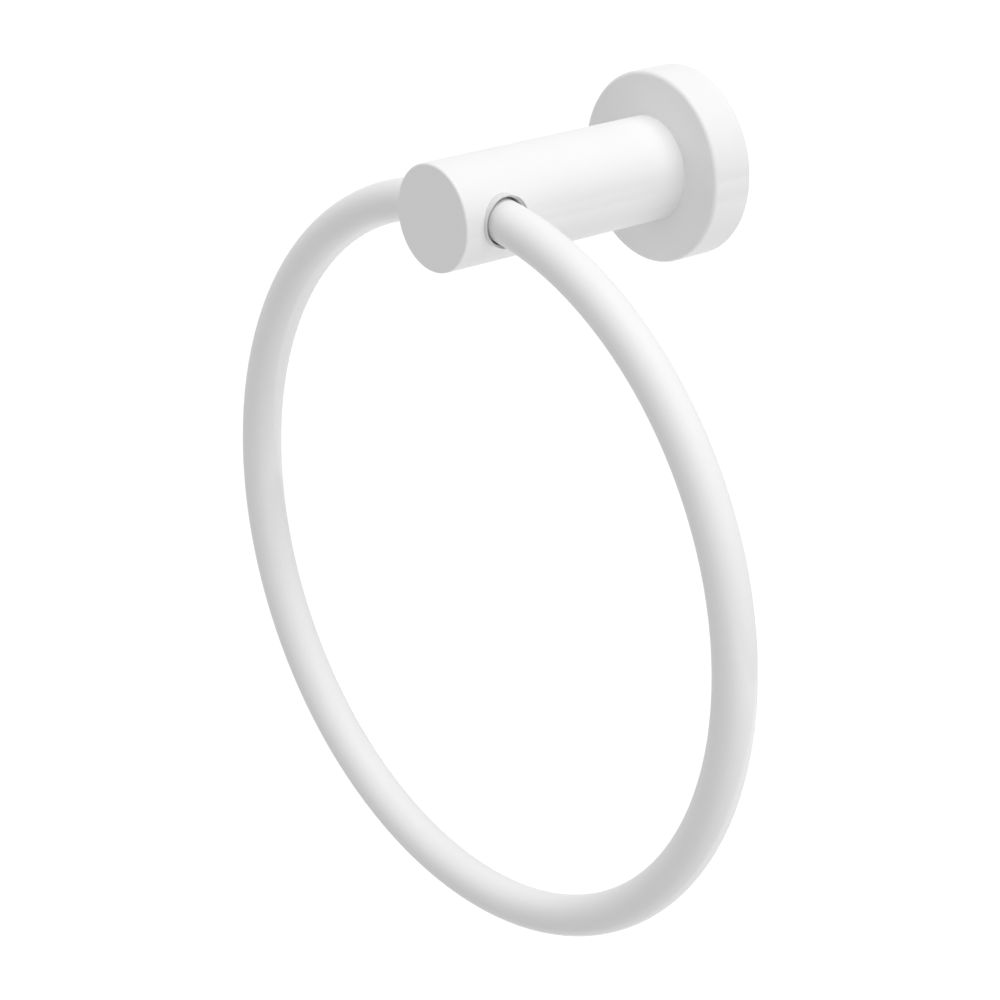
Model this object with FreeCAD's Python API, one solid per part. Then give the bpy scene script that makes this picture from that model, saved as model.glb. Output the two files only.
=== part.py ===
import FreeCAD, Part

import math
import os

# Towel ring: a round post on a wall rose carries a hoop that swings in two bushes.
# All sizes are in millimetres. The wall is the plane Y = 0 and the part stands out of it
# towards -Y, with +Z up. The origin is the centre of the rose's back, on the wall.

# Wall rose, the hollow round cover at the wall
rose_radius = 23.0
rose_depth = 11.3
rose_web = 4.0              # thickness of its front face
rose_rim = 2.8              # thickness of its side wall
rose_front_round = 1.0
rose_back_bevel = 0.3
rose_inner_round = 0.5

# Wall bracket, the plate that the rose slides over
bracket_slip = 0.2          # gap all round between the plate and the rose
bracket_depth = 5.5
bracket_bevel = 0.8
bracket_head_room = 1.25    # round the post screw's head, which reaches into the plate
wall_hole_radius = 2.25     # for wall screws of 4 mm
countersink_depth = 1.5

# Post, the round bar that stands out of the rose
post_radius = 12.5
post_length = 65.8          # from the rose's face to its own front face
post_edge_round = 0.5
spigot_radius = 5.0         # centres the post in the rose's face
spigot_length = 1.8
spigot_gap = 0.1

# Hoop, a round bar bent to a circle that is open inside the post
ring_radius = 88.2          # to the bar's centre line
bar_radius = 5.0
bar_end_bevel = 0.5
ring_setback = 11.1         # from the post's front face to the hoop's plane
crossing_inset = 1.0        # the bar meets the hinge axis this far inside the post's flank
end_play = 0.5              # from each of the bar's ends to the stop pin

# Bushes, the sleeves that line both mouths of the post's cross bore
bush_wall = 0.63
bush_length = 6.0
bush_stand_out = 0.8        # beyond the post's flank
bush_lip = 0.15             # wall left round the wider mouth of the bore
bush_mouth_depth = 0.8
running_gap = 0.05          # left round the highest point of the bent bar in the bush
seat_gap = 0.02             # light press fit of a bush in the cross bore

# Post screw and its washer, inside the rose
post_screw_radius = 3.0
post_screw_grip = 14.0      # length of thread in the post
post_screw_head_radius = 5.25
post_screw_head_depth = 3.3
post_screw_head_round = 2.2
post_screw_flats = 4.0
post_screw_socket_depth = 2.0
washer_radius = 5.8
washer_depth = 1.2
tap_run_out = 3.0           # tapped hole left over beyond the screw's end
drill_point_half_angle = 59.0

# Set screws: one under the rose, one under the post with a plain pin at its end
set_screw_radius = 2.0
set_screw_flats = 2.0
set_screw_socket_depth = 1.8
set_screw_sink = 0.4        # how far its outer end lies under the surface
set_screw_seat_depth = 2.2  # blind hole in the bracket's edge
stop_pin_radius = 1.5
stop_pin_rise = 3.0         # how far the pin reaches past the hinge axis

# Fits that all the screws share
thread_gap = 0.05           # between a screw and its tapped hole
clearance_gap = 0.2         # between a screw and a plain hole
screw_end_bevel = 0.4

# Directions and places worked out from the sizes above
AWAY_FROM_WALL = FreeCAD.Vector(0, -1, 0)
RIGHT = FreeCAD.Vector(1, 0, 0)
UP = FreeCAD.Vector(0, 0, 1)
ON_WALL = FreeCAD.Vector(0, 0, 0)

post_front = rose_depth + post_length
hinge_reach = post_front - ring_setback
HINGE = AWAY_FROM_WALL * hinge_reach

crossing_x = post_radius - crossing_inset
ring_rise = ring_radius - math.sqrt(ring_radius ** 2 - crossing_x ** 2)
RING_CENTRE = HINGE + UP * (ring_rise - ring_radius)

bush_outer_end = post_radius + bush_stand_out
bush_inner_end = bush_outer_end - bush_length
ring_outer_radius = ring_radius + bar_radius
bar_top_in_bush = math.sqrt(ring_outer_radius ** 2 - bush_inner_end ** 2) - ring_radius + ring_rise
bush_bore_radius = bar_top_in_bush + running_gap
bush_radius = bush_bore_radius + bush_wall
bush_mouth_radius = bush_radius - bush_lip
cross_bore_radius = bush_radius + seat_gap

rose_inner_radius = rose_radius - rose_rim
rose_inner_depth = rose_depth - rose_web
spigot_end = rose_depth - spigot_length
bracket_radius = rose_inner_radius - bracket_slip
bracket_hole_radius = post_screw_head_radius + bracket_head_room
wall_hole_reach = (bracket_radius + bracket_hole_radius) / 2

post_screw_hole_radius = post_screw_radius + clearance_gap
set_screw_hole_radius = set_screw_radius + thread_gap
set_screw_height = bracket_depth / 2
set_screw_seat_floor = bracket_radius - set_screw_seat_depth

overrun = 1.0               # how far a drill runs past the surface it leaves by
same_place = 1e-4           # distance under which two places count as one


def turned(profile, base, along):
    """A piece turned about the line through base along a direction.
    Each point of the profile is its radius and its distance along that line."""
    radial = RIGHT if along.cross(UP).Length < same_place else UP
    corners = [base + radial * radius + along * distance for radius, distance in profile]
    wire = Part.makePolygon(corners + corners[:1])
    return Part.Face(wire).revolve(base, along, 360)


def drilled(piece, radius, base, along, length):
    """The piece with a round hole that starts at base."""
    return piece.cut(Part.makeCylinder(radius, length, base, along))


def hex_socket(flats, base, along, depth):
    """Six-sided pocket that starts at base and goes in the given direction."""
    side = RIGHT if along.cross(RIGHT).Length > same_place else UP
    other = along.cross(side)
    corner_radius = flats / math.sqrt(3)
    corners = []
    for step in range(6):
        turn = math.radians(60 * step)
        corners.append(base + (side * math.cos(turn) + other * math.sin(turn)) * corner_radius)
    wire = Part.makePolygon(corners + corners[:1])
    return Part.Face(wire).extrude(along * depth)


def rounded(piece, size, radius, distance):
    """The piece with its circular edge of one radius rounded, where that edge lies at a
    distance from the wall and is centred on the post's axis."""
    centre = AWAY_FROM_WALL * distance
    found = []
    for edge in piece.Edges:
        curve = edge.Curve
        if isinstance(curve, Part.Circle) and abs(curve.Radius - radius) < same_place:
            if (curve.Center - centre).Length < same_place:
                found.append(edge)
    return piece.makeFillet(size, found)


def make_wall_rose():
    recess_radius = spigot_radius + spigot_gap
    recess_floor = spigot_end - spigot_gap
    profile = [
        (rose_inner_radius, 0),
        (rose_radius - rose_back_bevel, 0),
        (rose_radius, rose_back_bevel),
        (rose_radius, rose_depth),
        (recess_radius, rose_depth),
        (recess_radius, recess_floor),
        (post_screw_hole_radius, recess_floor),
        (post_screw_hole_radius, rose_inner_depth),
        (rose_inner_radius, rose_inner_depth),
    ]
    rose = turned(profile, ON_WALL, AWAY_FROM_WALL)
    rose = rounded(rose, rose_front_round, rose_radius, rose_depth)
    rose = rounded(rose, rose_inner_round, rose_inner_radius, rose_inner_depth)
    start = AWAY_FROM_WALL * set_screw_height - UP * (rose_inner_radius - overrun)
    return drilled(rose, set_screw_hole_radius, start, -UP, rose_rim + 2 * overrun)


def make_wall_bracket():
    """Plate with two countersunk holes for the wall screws, midway across its width."""
    profile = [
        (bracket_hole_radius, 0),
        (bracket_radius, 0),
        (bracket_radius, bracket_depth - bracket_bevel),
        (bracket_radius - bracket_bevel, bracket_depth),
        (bracket_hole_radius, bracket_depth),
    ]
    bracket = turned(profile, ON_WALL, AWAY_FROM_WALL)
    for side in (-1, 1):
        centre = RIGHT * (side * wall_hole_reach)
        bracket = drilled(bracket, wall_hole_radius, centre, AWAY_FROM_WALL, bracket_depth)
        narrow_end = centre + AWAY_FROM_WALL * (bracket_depth - countersink_depth)
        countersink = Part.makeCone(
            wall_hole_radius,
            wall_hole_radius + countersink_depth,
            countersink_depth,
            narrow_end,
            AWAY_FROM_WALL,
        )
        bracket = bracket.cut(countersink)
    seat = AWAY_FROM_WALL * set_screw_height - UP * set_screw_seat_floor
    seat_radius = set_screw_radius + clearance_gap
    return drilled(bracket, seat_radius, seat, -UP, set_screw_seat_depth + overrun)


def make_post():
    """Solid bar with a spigot and a tapped hole behind and a cross bore for the bushes."""
    tap_radius = post_screw_radius + thread_gap
    tap_end = spigot_end + post_screw_grip + tap_run_out
    drill_point = tap_radius / math.tan(math.radians(drill_point_half_angle))
    profile = [
        (0, post_front),
        (post_radius, post_front),
        (post_radius, rose_depth),
        (spigot_radius, rose_depth),
        (spigot_radius, spigot_end),
        (tap_radius, spigot_end),
        (tap_radius, tap_end),
        (0, tap_end + drill_point),
    ]
    post = turned(profile, ON_WALL, AWAY_FROM_WALL)
    post = rounded(post, post_edge_round, post_radius, post_front)
    reach = post_radius + overrun
    post = drilled(post, cross_bore_radius, HINGE - RIGHT * reach, RIGHT, 2 * reach)
    return drilled(post, set_screw_hole_radius, HINGE, -UP, reach)


def make_post_screw():
    """Button-head screw that draws the post against the rose from inside."""
    head_seat = rose_inner_depth - washer_depth
    head_top = head_seat - post_screw_head_depth
    tip = spigot_end + post_screw_grip
    profile = [
        (0, head_top),
        (post_screw_head_radius, head_top),
        (post_screw_head_radius, head_seat),
        (post_screw_radius, head_seat),
        (post_screw_radius, tip - screw_end_bevel),
        (post_screw_radius - screw_end_bevel, tip),
        (0, tip),
    ]
    screw = turned(profile, ON_WALL, AWAY_FROM_WALL)
    screw = rounded(screw, post_screw_head_round, post_screw_head_radius, head_top)
    socket_mouth = AWAY_FROM_WALL * head_top
    return screw.cut(
        hex_socket(post_screw_flats, socket_mouth, AWAY_FROM_WALL, post_screw_socket_depth)
    )


def make_post_screw_washer():
    profile = [
        (post_screw_hole_radius, rose_inner_depth - washer_depth),
        (washer_radius, rose_inner_depth - washer_depth),
        (washer_radius, rose_inner_depth),
        (post_screw_hole_radius, rose_inner_depth),
    ]
    return turned(profile, ON_WALL, AWAY_FROM_WALL)


def make_rose_set_screw():
    """Screw in the underside of the rose that bites on the wall bracket."""
    outer_radius = rose_radius - set_screw_sink
    outer_end = AWAY_FROM_WALL * set_screw_height - UP * outer_radius
    length = outer_radius - set_screw_seat_floor
    profile = [
        (0, 0),
        (set_screw_radius - screw_end_bevel, 0),
        (set_screw_radius, screw_end_bevel),
        (set_screw_radius, length - screw_end_bevel),
        (set_screw_radius - screw_end_bevel, length),
        (0, length),
    ]
    screw = turned(profile, outer_end, UP)
    return screw.cut(hex_socket(set_screw_flats, outer_end, UP, set_screw_socket_depth))


def make_ring_stop_screw():
    """Screw from under the post. Its plain end stands between the hoop's two ends."""
    outer_radius = post_radius - set_screw_sink
    outer_end = HINGE - UP * outer_radius
    shoulder = outer_radius - cross_bore_radius
    length = outer_radius + stop_pin_rise
    profile = [
        (0, 0),
        (set_screw_radius - screw_end_bevel, 0),
        (set_screw_radius, screw_end_bevel),
        (set_screw_radius, shoulder),
        (stop_pin_radius, shoulder),
        (stop_pin_radius, length - screw_end_bevel),
        (stop_pin_radius - screw_end_bevel, length),
        (0, length),
    ]
    screw = turned(profile, outer_end, UP)
    return screw.cut(hex_socket(set_screw_flats, outer_end, UP, set_screw_socket_depth))


def make_ring_bush(outwards):
    """Sleeve in one mouth of the cross bore. It stands out a little, and its own mouth is
    wider than its bore, so that the sloping bar leaves it without rubbing."""
    mouth_floor = bush_outer_end - bush_mouth_depth
    profile = [
        (bush_bore_radius, bush_inner_end),
        (bush_radius, bush_inner_end),
        (bush_radius, bush_outer_end),
        (bush_mouth_radius, bush_outer_end),
        (bush_mouth_radius, mouth_floor),
        (bush_bore_radius, mouth_floor),
    ]
    return turned(profile, HINGE, outwards)


def make_towel_ring():
    """The bent bar. Its two ends run in the bushes and face each other inside the post."""
    top = RING_CENTRE + UP * ring_radius
    ring_axis = -AWAY_FROM_WALL
    end_turn = math.degrees(math.asin((stop_pin_radius + end_play) / ring_radius))
    bevel_turn = math.degrees(bar_end_bevel / ring_radius)
    start_turn = end_turn + bevel_turn
    section = Part.Face(Part.Wire(Part.makeCircle(bar_radius, top, RIGHT)))
    section.rotate(RING_CENTRE, ring_axis, start_turn)
    ring = section.revolve(RING_CENTRE, ring_axis, 360 - 2 * start_turn)
    for side in (-1, 1):
        bevel = Part.makeCone(
            bar_radius, bar_radius - bar_end_bevel, bar_end_bevel, top, RIGHT * -side
        )
        bevel.rotate(RING_CENTRE, ring_axis, side * start_turn)
        ring = ring.fuse(bevel)
    return ring


pieces = {
    "wall_rose": make_wall_rose(),
    "wall_bracket": make_wall_bracket(),
    "rose_set_screw": make_rose_set_screw(),
    "post": make_post(),
    "post_screw": make_post_screw(),
    "post_screw_washer": make_post_screw_washer(),
    "ring_bush_left": make_ring_bush(-RIGHT),
    "ring_bush_right": make_ring_bush(RIGHT),
    "ring_stop_screw": make_ring_stop_screw(),
    "towel_ring": make_towel_ring(),
}

os.makedirs("parts", exist_ok=True)
for name, piece in pieces.items():
    piece.exportStep("parts/" + name + ".step")
    print(name, "solids", len(piece.Solids), "valid", piece.isValid(), "volume", round(piece.Volume, 2))
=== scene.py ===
import math

import bpy
import bmesh
from mathutils import Matrix, Vector


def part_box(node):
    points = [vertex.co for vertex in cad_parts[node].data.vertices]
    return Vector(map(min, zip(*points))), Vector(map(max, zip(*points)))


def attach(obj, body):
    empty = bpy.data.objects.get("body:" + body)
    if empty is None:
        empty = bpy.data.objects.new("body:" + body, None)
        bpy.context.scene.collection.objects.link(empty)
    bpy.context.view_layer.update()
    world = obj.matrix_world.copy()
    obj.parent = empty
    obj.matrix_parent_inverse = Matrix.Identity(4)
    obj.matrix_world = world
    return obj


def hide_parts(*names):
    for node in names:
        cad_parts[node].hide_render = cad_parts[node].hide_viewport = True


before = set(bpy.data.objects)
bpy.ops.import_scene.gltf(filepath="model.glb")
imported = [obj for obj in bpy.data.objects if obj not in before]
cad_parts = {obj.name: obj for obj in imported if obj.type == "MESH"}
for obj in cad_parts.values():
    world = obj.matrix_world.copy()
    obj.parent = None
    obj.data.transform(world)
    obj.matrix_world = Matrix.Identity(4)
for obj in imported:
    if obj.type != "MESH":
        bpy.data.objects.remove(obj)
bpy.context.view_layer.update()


# Wall bracket: the plate that two wall screws hold to the wall and that the rose slides
# over. It is turned from steel and zinc plated, so it is a cool silver with turning marks.

MM = 0.001


def linear(code):
    """The linear colour, with full alpha, of an sRGB hex code."""
    shares = [int(code[start:start + 2], 16) / 255 for start in (0, 2, 4)]
    levels = [s / 12.92 if s <= 0.04045 else ((s + 0.055) / 1.055) ** 2.4 for s in shares]
    return (*levels, 1.0)


def add_node(tree, kind, sockets=None, output=None, **settings):
    """Adds a node and returns its output, the first one where none is named. Each socket
    gets a value, or the output of another node, which is linked to it."""
    made = tree.nodes.new(kind)
    for name, value in settings.items():
        setattr(made, name, value)
    for name, value in (sockets or {}).items():
        # A node keeps sockets of other data types under the same name, switched off.
        fitting = [s for s in made.inputs if s.enabled and s.name == name]
        socket = fitting[0] if fitting else made.inputs[name]
        if isinstance(value, bpy.types.NodeSocket):
            tree.links.new(value, socket)
        else:
            socket.default_value = value
    if output:
        return made.outputs[output]
    return next((s for s in made.outputs if s.enabled), None)


def start_material(name):
    """An empty material, its node tree and the object coordinates in it."""
    material = bpy.data.materials.new(name)
    material.use_nodes = True
    material.node_tree.nodes.clear()
    place = add_node(material.node_tree, "ShaderNodeTexCoord", output="Object")
    return material, material.node_tree, place


def dress(name, material):
    """A CAD node keeps its shape and takes a material."""
    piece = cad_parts[name]
    piece.data.materials.clear()
    piece.data.materials.append(material)


def make_zinc_plating():
    """Zinc plating over turned steel: the tool's marks run round the post's axis, and the
    passivated layer is cloudy, so that its reflections break up. A real mark is about 0.2 mm
    wide. Here it is drawn coarser, so that it shows."""
    turning_mark = 0.9 * MM
    mark_height = 0.008 * MM
    mark_share = 0.35  # of the marks in the tone, and the rest is clouds
    wave_turn = 20     # radians that the wave pattern turns through in one unit of its scale
    cloud_size = 3.0 * MM
    material, tree, place = start_material("zinc_plated_steel")
    on_wall = add_node(tree, "ShaderNodeMapping", {"Vector": place, "Scale": (1, 0, 1)})
    mark_scale = math.tau / (wave_turn * turning_mark)
    marks = add_node(
        tree, "ShaderNodeTexWave", {"Vector": on_wall, "Scale": mark_scale},
        output="Fac", wave_type="RINGS", rings_direction="SPHERICAL",
    )
    clouds = add_node(
        tree, "ShaderNodeTexNoise", {"Vector": place, "Scale": 1 / cloud_size, "Detail": 4.0}
    )
    tone = add_node(tree, "ShaderNodeMix", {"Factor": mark_share, "A": clouds, "B": marks})
    colour = add_node(
        tree, "ShaderNodeMix",
        {"Factor": tone, "A": linear("A3A9B0"), "B": linear("CBCFD2")}, data_type="RGBA",
    )
    roughness = add_node(
        tree, "ShaderNodeMapRange", {"Value": tone, "To Min": 0.26, "To Max": 0.44}
    )
    relief = add_node(tree, "ShaderNodeBump", {"Height": marks, "Distance": mark_height})
    metal = add_node(
        tree, "ShaderNodeBsdfPrincipled",
        {"Base Color": colour, "Metallic": 1.0, "Roughness": roughness, "Normal": relief},
    )
    add_node(tree, "ShaderNodeOutputMaterial", {"Surface": metal})
    return material


dress("wall_bracket", make_zinc_plating())


# Screws and washer: a button-head screw of 6 mm with its washer inside the rose, a set screw
# of 4 mm under the rose, and a stop screw of 4 mm with a plain pin under the post. They are
# stainless steel with rolled threads and hexagon sockets, and each fills its CAD screw's place.

ring_steps = 48         # sides of every round section
sharp_angle = 30        # edges that turn by more degrees than this stay crisp
thread_sink = 0.1       # the foot of a thread's ridge lies this deep in the core

# Shares of the pitch, close to those of a metric thread
thread_depth_share = 0.6134
thread_crest_share = 0.14
thread_foot_share = 0.90

post_screw_radius = 3.0
post_screw_pitch = 1.0
post_screw_flats = 4.0
post_screw_socket = 2.0
button_radius = 5.25
button_depth = 3.3
button_round = 2.2
button_round_steps = 6

set_screw_radius = 2.0
set_screw_pitch = 0.7
set_screw_flats = 2.0
set_screw_socket = 1.8
stop_pin_radius = 1.5
stop_pin_length = 9.17

screw_end_bevel = 0.4


def edges_at(verts):
    """The edges that join the given vertices to each other."""
    chosen = set(verts)
    return list({edge for vert in verts for edge in vert.link_edges if set(edge.verts) <= chosen})


def add_skin(shape, outline, flats, socket_depth):
    """The screw's core: a skin through rings round its axis, each a radius and a height,
    with a hexagon socket in the first ring."""
    bmesh.ops.create_circle(shape, segments=6, radius=flats / math.sqrt(3))
    bmesh.ops.subdivide_edges(shape, edges=shape.edges[:], cuts=ring_steps // 6 - 1)
    mouth = shape.edges[:]
    lower = mouth
    for radius, height in outline:
        ring = bmesh.ops.create_circle(
            shape, segments=ring_steps, radius=radius, matrix=Matrix.Translation((0, 0, height))
        )
        upper = edges_at(ring["verts"])
        bmesh.ops.bridge_loops(shape, edges=lower + upper)
        lower = upper
    bmesh.ops.contextual_create(shape, geom=lower)
    walls = bmesh.ops.extrude_edge_only(shape, edges=mouth)["geom"]
    floor_corners = [part for part in walls if isinstance(part, bmesh.types.BMVert)]
    bmesh.ops.translate(shape, verts=floor_corners, vec=(0, 0, socket_depth))
    bmesh.ops.contextual_create(shape, geom=edges_at(floor_corners))


def add_thread(shape, radius, pitch, start, end, bevelled_ends):
    """A rolled thread: one long ridge round the core, cut off square at both ends and
    turned down where an end is bevelled."""
    root = radius - thread_depth_share * pitch
    sunk_root = root - thread_sink
    half_crest = thread_crest_share * pitch / 2
    half_foot = thread_foot_share * pitch / 2
    section = [
        (sunk_root, -half_foot), (root, -half_foot), (radius, -half_crest),
        (radius, half_crest), (root, half_foot), (sunk_root, half_foot),
    ]
    # The ridge starts below its first end and runs past its last one, and is cut off at both.
    spare_turns = 2
    turns = math.ceil((end - start) / pitch) + spare_turns
    first_crest = start - pitch / 2
    ridge = bmesh.new()
    corners = [ridge.verts.new((reach, 0, first_crest + height)) for reach, height in section]
    ridge.faces.new(corners)
    bmesh.ops.spin(
        ridge, geom=ridge.verts[:] + ridge.edges[:] + ridge.faces[:], axis=(0, 0, 1),
        dvec=(0, 0, pitch / ring_steps), angle=math.tau * turns, steps=ring_steps * turns,
    )
    for height, outwards in ((start, -1), (end, 1)):
        cut = bmesh.ops.bisect_plane(
            ridge, geom=ridge.verts[:] + ridge.edges[:] + ridge.faces[:],
            plane_co=(0, 0, height), plane_no=(0, 0, outwards), clear_outer=True,
        )
        open_edges = [part for part in cut["geom_cut"] if isinstance(part, bmesh.types.BMEdge)]
        bmesh.ops.holes_fill(ridge, edges=open_edges)
    for vert in ridge.verts:
        for bevelled_end in bevelled_ends:
            allowed = radius - max(screw_end_bevel - abs(bevelled_end - vert.co.z), 0)
            share = min(allowed / math.hypot(vert.co.x, vert.co.y), 1)
            vert.co.x *= share
            vert.co.y *= share
    carrier = bpy.data.meshes.new("thread")
    ridge.to_mesh(carrier)
    ridge.free()
    shape.from_mesh(carrier)
    bpy.data.meshes.remove(carrier)


def place_screw(shape, node, along, material):
    """Moves a screw that was built in millimetres, upwards from its outer end, into the
    place of the CAD screw."""
    low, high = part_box(node)
    middle = (low + high) / 2
    outer_end = middle - along * abs((high - low).dot(along)) / 2
    turn = along.to_track_quat("Z", "Y").to_matrix().to_4x4()
    place = Matrix.Translation(outer_end) @ turn @ Matrix.Scale(MM, 4)
    bmesh.ops.transform(shape, matrix=place, verts=shape.verts)
    bmesh.ops.recalc_face_normals(shape, faces=shape.faces)
    mesh = bpy.data.meshes.new(node + "_threaded")
    shape.to_mesh(mesh)
    shape.free()
    mesh.shade_smooth()
    mesh.set_sharp_from_angle(angle=math.radians(sharp_angle))
    mesh.materials.append(material)
    screw = bpy.data.objects.new(node + "_threaded", mesh)
    bpy.context.scene.collection.objects.link(screw)
    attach(screw, "wall_mount")
    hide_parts(node)


def length_of(node, along):
    low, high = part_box(node)
    return abs((high - low).dot(along)) / MM


def make_post_screw(material):
    along = Vector((0, -1, 0))
    length = length_of("post_screw", along)
    core = post_screw_radius - thread_depth_share * post_screw_pitch
    crown = button_radius - button_round
    outline = []
    for step in range(button_round_steps + 1):
        turn = math.pi / 2 * step / button_round_steps
        outline.append(
            (crown + button_round * math.sin(turn), button_round * (1 - math.cos(turn)))
        )
    outline += [(button_radius, button_depth), (core, button_depth), (core, length)]
    shape = bmesh.new()
    add_skin(shape, outline, post_screw_flats, post_screw_socket)
    add_thread(shape, post_screw_radius, post_screw_pitch, button_depth, length, (length,))
    place_screw(shape, "post_screw", along, material)


def make_rose_set_screw(material):
    along = Vector((0, 0, 1))
    length = length_of("rose_set_screw", along)
    core = set_screw_radius - thread_depth_share * set_screw_pitch
    shape = bmesh.new()
    add_skin(shape, [(core, 0), (core, length)], set_screw_flats, set_screw_socket)
    add_thread(shape, set_screw_radius, set_screw_pitch, 0, length, (0, length))
    place_screw(shape, "rose_set_screw", along, material)


def make_ring_stop_screw(material):
    along = Vector((0, 0, 1))
    length = length_of("ring_stop_screw", along)
    shoulder = length - stop_pin_length
    core = set_screw_radius - thread_depth_share * set_screw_pitch
    outline = [
        (core, 0),
        (core, shoulder),
        (stop_pin_radius, shoulder),
        (stop_pin_radius, length - screw_end_bevel),
        (stop_pin_radius - screw_end_bevel, length),
    ]
    shape = bmesh.new()
    add_skin(shape, outline, set_screw_flats, set_screw_socket)
    add_thread(shape, set_screw_radius, set_screw_pitch, 0, shoulder, (0,))
    place_screw(shape, "ring_stop_screw", along, material)


def make_turned_stainless():
    """Plain stainless steel with scratches from tumbling, ten times as long along the post's
    axis as across it. A real one is about 0.02 mm wide. Here it is drawn coarser, so that it
    shows."""
    scratch_width = 0.25 * MM
    scratch_stretch = 0.1
    scratch_depth = 0.0025 * MM
    material, tree, place = start_material("turned_stainless_steel")
    stretched = add_node(
        tree, "ShaderNodeMapping", {"Vector": place, "Scale": (1, scratch_stretch, 1)}
    )
    scratches = add_node(
        tree, "ShaderNodeTexNoise", {"Vector": stretched, "Scale": 1 / scratch_width}
    )
    colour = add_node(
        tree, "ShaderNodeMix",
        {"Factor": scratches, "A": linear("A9A8A5"), "B": linear("BDBCB9")}, data_type="RGBA",
    )
    roughness = add_node(
        tree, "ShaderNodeMapRange", {"Value": scratches, "To Min": 0.22, "To Max": 0.38}
    )
    relief = add_node(tree, "ShaderNodeBump", {"Height": scratches, "Distance": scratch_depth})
    metal = add_node(
        tree, "ShaderNodeBsdfPrincipled",
        {"Base Color": colour, "Metallic": 1.0, "Roughness": roughness, "Normal": relief},
    )
    add_node(tree, "ShaderNodeOutputMaterial", {"Surface": metal})
    return material


stainless = make_turned_stainless()
make_post_screw(stainless)
make_rose_set_screw(stainless)
make_ring_stop_screw(stainless)
dress("post_screw_washer", stainless)


# Wall rose, post and hoop: steel, powder coated in matt white after turning and bending.
# The coat rounds the edges a little and leaves a very slight orange peel.

def make_powder_coat():
    """Matt polyester powder: an even white that scatters light, a slight orange peel, a
    finer grain of melted powder, and a gloss that differs a little from place to place."""
    peel_size = 1.6 * MM
    peel_height = 0.004 * MM
    grain_size = 0.3 * MM
    grain_height = 0.0012 * MM
    cloud_size = 14.0 * MM
    material, tree, place = start_material("white_powder_coat")
    clouds = add_node(
        tree, "ShaderNodeTexNoise", {"Vector": place, "Scale": 1 / cloud_size, "Detail": 3.0}
    )
    peel = add_node(tree, "ShaderNodeTexNoise", {"Vector": place, "Scale": 1 / peel_size})
    grain = add_node(tree, "ShaderNodeTexNoise", {"Vector": place, "Scale": 1 / grain_size})
    peel_relief = add_node(tree, "ShaderNodeBump", {"Height": peel, "Distance": peel_height})
    relief = add_node(
        tree, "ShaderNodeBump",
        {"Height": grain, "Distance": grain_height, "Normal": peel_relief},
    )
    colour = add_node(
        tree, "ShaderNodeMix",
        {"Factor": clouds, "A": linear("F1F1F1"), "B": linear("F4F4F4")}, data_type="RGBA",
    )
    roughness = add_node(
        tree, "ShaderNodeMapRange", {"Value": grain, "To Min": 0.56, "To Max": 0.66}
    )
    coat = add_node(
        tree, "ShaderNodeBsdfPrincipled",
        {"Base Color": colour, "IOR": 1.5, "Roughness": roughness, "Normal": relief},
    )
    add_node(tree, "ShaderNodeOutputMaterial", {"Surface": coat})
    return material


powder_coat = make_powder_coat()
for piece_name in ("wall_rose", "post", "towel_ring"):
    dress(piece_name, powder_coat)


# Ring bushes: thin sleeves pressed into both mouths of the post's cross bore. They are
# moulded in white nylon, so they are smoother and a little glossier than the coat.

def make_moulded_nylon():
    """Satin nylon with the fine texture of a spark-eroded mould."""
    texture_size = 0.2 * MM
    texture_height = 0.001 * MM
    material, tree, place = start_material("white_nylon")
    texture = add_node(
        tree, "ShaderNodeTexNoise", {"Vector": place, "Scale": 1 / texture_size}
    )
    roughness = add_node(
        tree, "ShaderNodeMapRange", {"Value": texture, "To Min": 0.4, "To Max": 0.5}
    )
    relief = add_node(tree, "ShaderNodeBump", {"Height": texture, "Distance": texture_height})
    plastic = add_node(
        tree, "ShaderNodeBsdfPrincipled",
        {"Base Color": linear("E2E2E2"), "IOR": 1.53, "Roughness": roughness, "Normal": relief},
    )
    add_node(tree, "ShaderNodeOutputMaterial", {"Surface": plastic})
    return material


nylon = make_moulded_nylon()
for bush in ("ring_bush_left", "ring_bush_right"):
    dress(bush, nylon)


# Studio: a pale floor well below the hoop, even light from all round, a wide key from above
# on the right, a weak lamp from the left, and a fill that comes up through the floor, as
# light does in a pale room. They aren't part of the object.

surround_level = 0.40
key_direction = Vector((0.47, 0.07, 0.88))
key_strength = 1.99
key_spread = 60
left_direction = Vector((-0.80, -0.35, 0.49))
left_strength = 0.40
left_spread = 40
fill_direction = Vector((0.52, 0.43, -0.74))
fill_strength = 1.50
fill_spread = 80
floor_drop = 0.27
floor_reach = 20.0


def seen_directly(tree):
    """1 for a ray that the eye follows: straight, mirrored or through glass."""
    path = add_node(tree, "ShaderNodeLightPath").node.outputs
    straight_or_mirrored = add_node(
        tree, "ShaderNodeMath", {0: path["Is Camera Ray"], 1: path["Is Glossy Ray"]},
        operation="ADD",
    )
    return add_node(
        tree, "ShaderNodeMath", {0: straight_or_mirrored, 1: path["Is Transmission Ray"]},
        operation="ADD", use_clamp=True,
    )


def make_surround():
    world = bpy.data.worlds.new("studio_surround")
    world.use_nodes = True
    tree = world.node_tree
    tree.nodes.clear()
    level = add_node(
        tree, "ShaderNodeMapRange",
        {"Value": seen_directly(tree), "To Min": surround_level, "To Max": 1.0},
    )
    light = add_node(
        tree, "ShaderNodeBackground", {"Color": linear("FFFFFF"), "Strength": level}
    )
    add_node(tree, "ShaderNodeOutputWorld", {"Surface": light})
    bpy.context.scene.world = world


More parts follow.
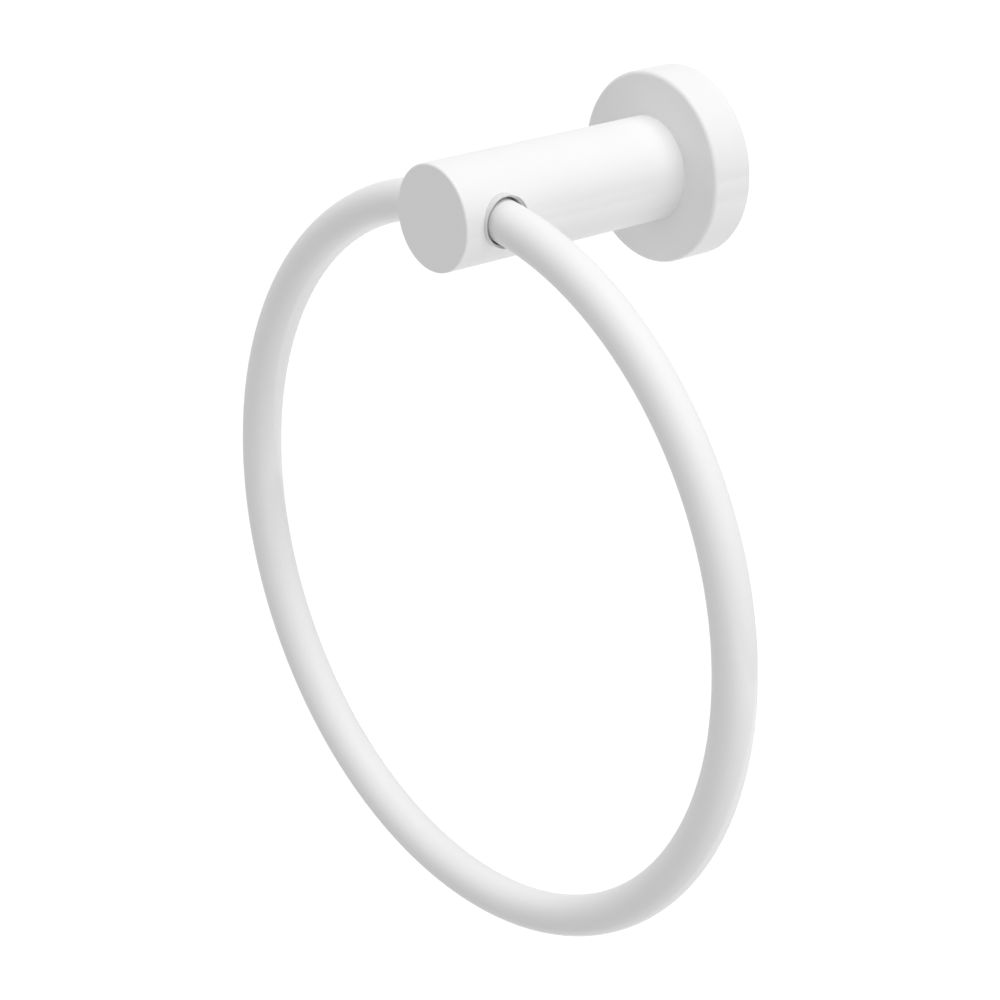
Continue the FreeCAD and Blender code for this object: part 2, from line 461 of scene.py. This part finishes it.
def make_floor_paint():
    """Pale matt paint. What the eye sees of it is lifted to white, less its shadows."""
    lift = 0.48
    patch_size = 200 * MM
    material, tree, place = start_material("pale_floor_paint")
    patches = add_node(tree, "ShaderNodeTexNoise", {"Vector": place, "Scale": 1 / patch_size})
    colour = add_node(
        tree, "ShaderNodeMix",
        {"Factor": patches, "A": linear("C7C7C7"), "B": linear("C9C9C9")}, data_type="RGBA",
    )
    paint = add_node(tree, "ShaderNodeBsdfDiffuse", {"Color": colour})
    level = add_node(
        tree, "ShaderNodeMapRange", {"Value": seen_directly(tree), "To Min": 0.0, "To Max": lift}
    )
    glow = add_node(tree, "ShaderNodeEmission", {"Strength": level})
    both = add_node(tree, "ShaderNodeAddShader", {0: paint, 1: glow})
    add_node(tree, "ShaderNodeOutputMaterial", {"Surface": both})
    return material


def make_floor():
    shape = bmesh.new()
    bmesh.ops.create_grid(shape, x_segments=1, y_segments=1, size=floor_reach)
    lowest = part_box("towel_ring")[0].z
    bmesh.ops.translate(shape, verts=shape.verts, vec=(0, 0, lowest - floor_drop))
    mesh = bpy.data.meshes.new("floor")
    shape.to_mesh(mesh)
    shape.free()
    mesh.materials.append(make_floor_paint())
    floor = bpy.data.objects.new("floor", mesh)
    bpy.context.scene.collection.objects.link(floor)
    # The fill comes from below the floor, as light that a bright room sends back up.
    floor.visible_shadow = False


def make_lamp(name, towards, strength, spread_degrees):
    """A sun lamp: even over the object, as a large softbox is, and as soft as it is wide."""
    light = bpy.data.lights.new(name, "SUN")
    light.energy = strength
    light.angle = math.radians(spread_degrees)
    lamp = bpy.data.objects.new(name, light)
    lamp.rotation_euler = towards.to_track_quat("Z", "Y").to_euler()
    bpy.context.scene.collection.objects.link(lamp)


make_surround()
make_floor()
make_lamp("key_lamp", key_direction, key_strength, key_spread)
make_lamp("left_lamp", left_direction, left_strength, left_spread)
make_lamp("fill_lamp", fill_direction, fill_strength, fill_spread)
bpy.context.scene.view_settings.view_transform = "Standard"


# Camera: above the part and to its right, level with the horizon, as in the photograph.

camera_place = Vector((0.453007, -0.430697, 0.167178))
camera_azimuth = 48.8003
camera_elevation = 23.0405
film_width = 36.0
focal_length = 95.7165
frame_shift_x = -0.076436
frame_shift_y = 0.035570

lens = bpy.data.cameras.new("camera")
lens.sensor_width = film_width
lens.lens = focal_length
lens.shift_x = frame_shift_x
lens.shift_y = frame_shift_y
camera = bpy.data.objects.new("camera", lens)
camera.location = camera_place
camera.rotation_euler = (math.radians(90 - camera_elevation), 0, math.radians(camera_azimuth))
bpy.context.scene.collection.objects.link(camera)
bpy.context.scene.camera = camera
